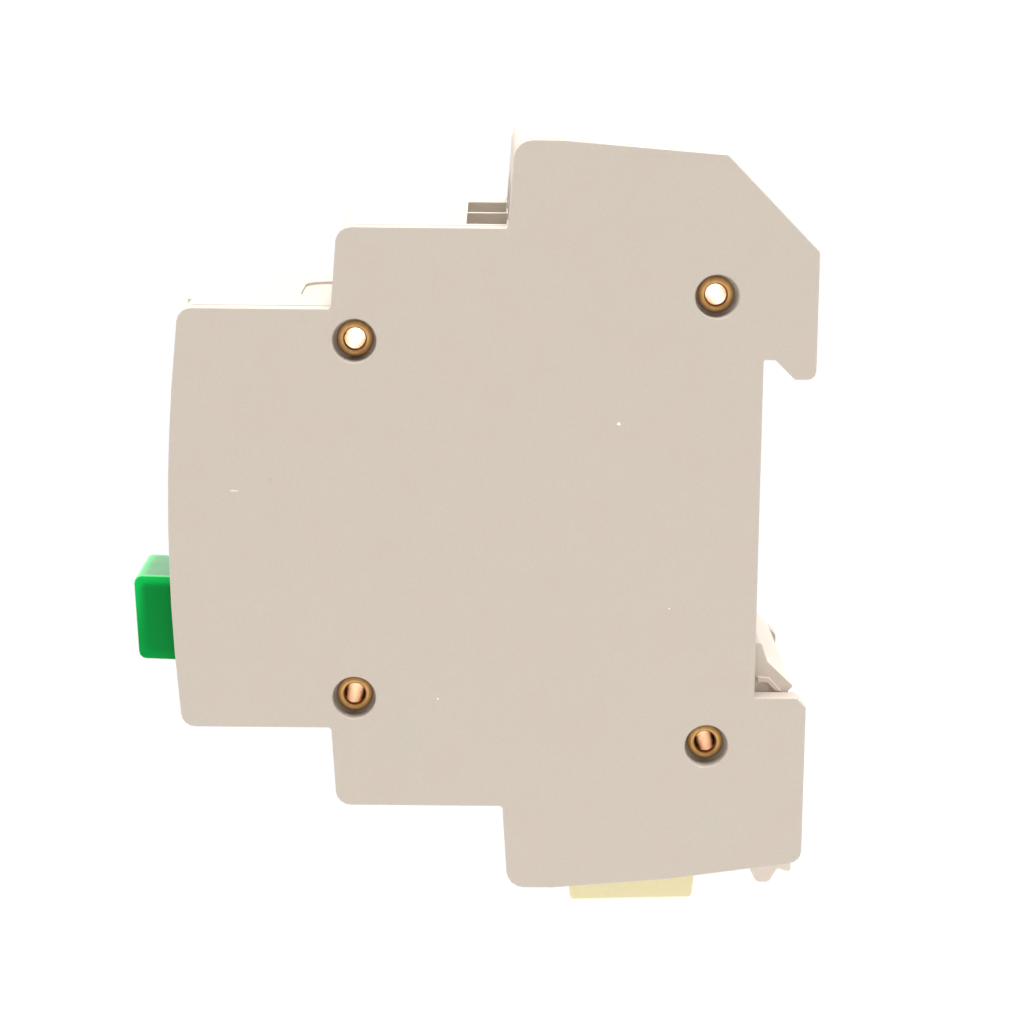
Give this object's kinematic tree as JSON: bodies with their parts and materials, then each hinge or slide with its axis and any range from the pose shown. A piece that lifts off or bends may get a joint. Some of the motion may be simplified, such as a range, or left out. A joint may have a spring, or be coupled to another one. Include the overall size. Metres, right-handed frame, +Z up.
{
  "type": "circuit breaker",
  "caption": "Modular rail-mounted circuit breaker with a green toggle, stepped casing, rail clip, screw terminals and residual-current trip parts.",
  "frame": {"origin": "centre of the flat rear face that rests on the mounting rail, halfway across the width and level with the middle of the front", "axes": "+X across the two modules, +Y out of the back towards the rail, +Z up; the toggle faces -Y"},
  "size_m": [0.036, 0.072, 0.0833],
  "materials": {
    "casing": "warm light beige moulded plastic with a fine satin texture",
    "green_plastic": "bright green glossy moulded plastic",
    "rivet_brass": "brassy yellow rolled metal, darker inside the bore",
    "pale_yellow_plastic": "pale yellow translucent-looking plastic",
    "clip_plastic": "beige plastic, a little darker than the casing",
    "white_plastic": "off-white moulded plastic",
    "dark_plastic": "near-black moulded plastic",
    "zinc_steel": "bright zinc-plated steel",
    "spring_steel": "drawn spring wire",
    "copper": "bare copper strip",
    "silver": "silver contact alloy",
    "dark_sleeve": "black wire insulation",
    "blue_sleeve": "blue wire insulation and lacquer",
    "board_green": "green printed circuit board"
  },
  "bodies": {
    "casing": {"housing_body": "casing", "cover_right": "casing", "cover_left": "casing", "rivet_front_upper": "rivet_brass", "rivet_front_lower": "rivet_brass", "rivet_rear_upper": "rivet_brass", "rivet_rear_lower": "rivet_brass", "label_plate": "white_plastic", "entry_plug_right": "pale_yellow_plastic", "entry_plug_left": "pale_yellow_plastic", "entry_blank_right": "casing", "entry_blank_left": "casing", "clip_spring": "spring_steel", "toggle_pin": "zinc_steel", "trip_lever_pin": "zinc_steel", "fixed_strap_right": "copper", "fixed_strap_left": "copper", "fixed_tip_right": "silver", "fixed_tip_left": "silver", "arc_chute_right": "zinc_steel", "arc_chute_left": "zinc_steel", "line_bar_right": "copper", "line_bar_left": "copper", "conductor_right": "dark_sleeve", "conductor_left": "blue_sleeve", "sensing_core": "dark_plastic", "sense_winding": "copper", "trip_relay": "dark_plastic", "trip_lever_spring": "spring_steel", "test_button_spring": "spring_steel", "test_contact": "rivet_brass", "circuit_board": "board_green", "test_resistor": "blue_sleeve", "board_capacitor": "pale_yellow_plastic", "board_chip": "dark_plastic"},
    "toggle": {"toggle": "green_plastic", "toggle_spring": "spring_steel"},
    "link": {"toggle_link": "zinc_steel"},
    "contacts": {"contact_shaft": "dark_plastic", "moving_arm_right": "copper", "moving_arm_left": "copper", "moving_tip_right": "silver", "moving_tip_left": "silver"},
    "button": {"test_button": "dark_plastic"},
    "clip": {"rail_clip": "clip_plastic"},
    "plunger": {"relay_plunger": "zinc_steel"},
    "lever": {"trip_lever": "white_plastic"},
    "screw_upper_right": {"terminal_screw_upper_right": "zinc_steel"},
    "clamp_upper_right": {"terminal_clamp_upper_right": "zinc_steel"},
    "screw_upper_left": {"terminal_screw_upper_left": "zinc_steel"},
    "clamp_upper_left": {"terminal_clamp_upper_left": "zinc_steel"},
    "screw_lower_right": {"terminal_screw_lower_right": "zinc_steel"},
    "clamp_lower_right": {"terminal_clamp_lower_right": "zinc_steel"},
    "screw_lower_left": {"terminal_screw_lower_left": "zinc_steel"},
    "clamp_lower_left": {"terminal_clamp_lower_left": "zinc_steel"}
  },
  "joints": [
    {"name": "toggle_turn", "type": "hinge", "parent": "casing", "child": "toggle", "pos_m": [0.009, -0.0505, 0], "axis": [-1, 0, 0], "range_deg": [0, 91]},
    {"name": "link_turn", "type": "hinge", "parent": "toggle", "child": "link", "pos_m": [0.009, -0.04666, 0.00394], "axis": [1, 0, 0], "range_deg": [0, 132]},
    {"name": "contacts_turn", "type": "hinge", "parent": "casing", "child": "contacts", "pos_m": [0, -0.03602, -0.01218], "axis": [-1, 0, 0], "range_deg": [0, 18.3]},
    {"name": "test_press", "type": "slide", "parent": "casing", "child": "button", "axis": [0, 1, 0], "range_m": [0, 0.0014], "stiffness_N_per_m": 400, "springref_m": -0.001, "deforming": ["test_button_spring"]},
    {"name": "clip_slide", "type": "slide", "parent": "casing", "child": "clip", "axis": [0, 0, -1], "range_m": [0, 0.0045], "stiffness_N_per_m": 1500, "springref_m": -0.002, "deforming": ["clip_spring"]},
    {"name": "plunger_slide", "type": "slide", "parent": "casing", "child": "plunger", "axis": [0, 0, -1], "range_m": [0, 0.0016], "stiffness_N_per_m": 100, "springref_m": -0.001},
    {"name": "lever_turn", "type": "hinge", "parent": "casing", "child": "lever", "pos_m": [-0.0089, -0.0455, 0.0066], "axis": [-1, 0, 0], "range_deg": [0, 9.1]},
    {"name": "screw_upper_right_turn", "type": "hinge", "parent": "casing", "child": "screw_upper_right", "pos_m": [0.0069, -0.0262, 0.0316], "axis": [0, 1, 0], "range_deg": [0, 1801]},
    {"name": "clamp_upper_right_slide", "type": "slide", "parent": "casing", "child": "clamp_upper_right", "axis": [0, -1, 0], "range_m": [0, 0.004]},
    {"name": "screw_upper_left_turn", "type": "hinge", "parent": "casing", "child": "screw_upper_left", "pos_m": [-0.0069, -0.0262, 0.0316], "axis": [0, 1, 0], "range_deg": [0, 1801]},
    {"name": "clamp_upper_left_slide", "type": "slide", "parent": "casing", "child": "clamp_upper_left", "axis": [0, -1, 0], "range_m": [0, 0.004]},
    {"name": "screw_lower_right_turn", "type": "hinge", "parent": "casing", "child": "screw_lower_right", "pos_m": [0.0069, -0.0262, -0.0316], "axis": [0, 1, 0], "range_deg": [0, 1801]},
    {"name": "clamp_lower_right_slide", "type": "slide", "parent": "casing", "child": "clamp_lower_right", "axis": [0, -1, 0], "range_m": [0, 0.004]},
    {"name": "screw_lower_left_turn", "type": "hinge", "parent": "casing", "child": "screw_lower_left", "pos_m": [-0.0069, -0.0262, -0.0316], "axis": [0, 1, 0], "range_deg": [0, 1801]},
    {"name": "clamp_lower_left_slide", "type": "slide", "parent": "casing", "child": "clamp_lower_left", "axis": [0, -1, 0], "range_m": [0, 0.004]}
  ],
  "couplings": [
    {"joint": "link_turn", "follows": "toggle_turn", "ratio": 1.4443},
    {"joint": "contacts_turn", "follows": "toggle_turn", "ratio": 0.19694},
    {"joint": "lever_turn", "follows": "plunger_slide", "rad_per_m": 98},
    {"joint": "screw_upper_right_turn", "follows": "clamp_upper_right_slide", "rad_per_m": 7854},
    {"joint": "screw_upper_left_turn", "follows": "clamp_upper_left_slide", "rad_per_m": 7854},
    {"joint": "screw_lower_right_turn", "follows": "clamp_lower_right_slide", "rad_per_m": 7854},
    {"joint": "screw_lower_left_turn", "follows": "clamp_lower_left_slide", "rad_per_m": 7854}
  ]
}
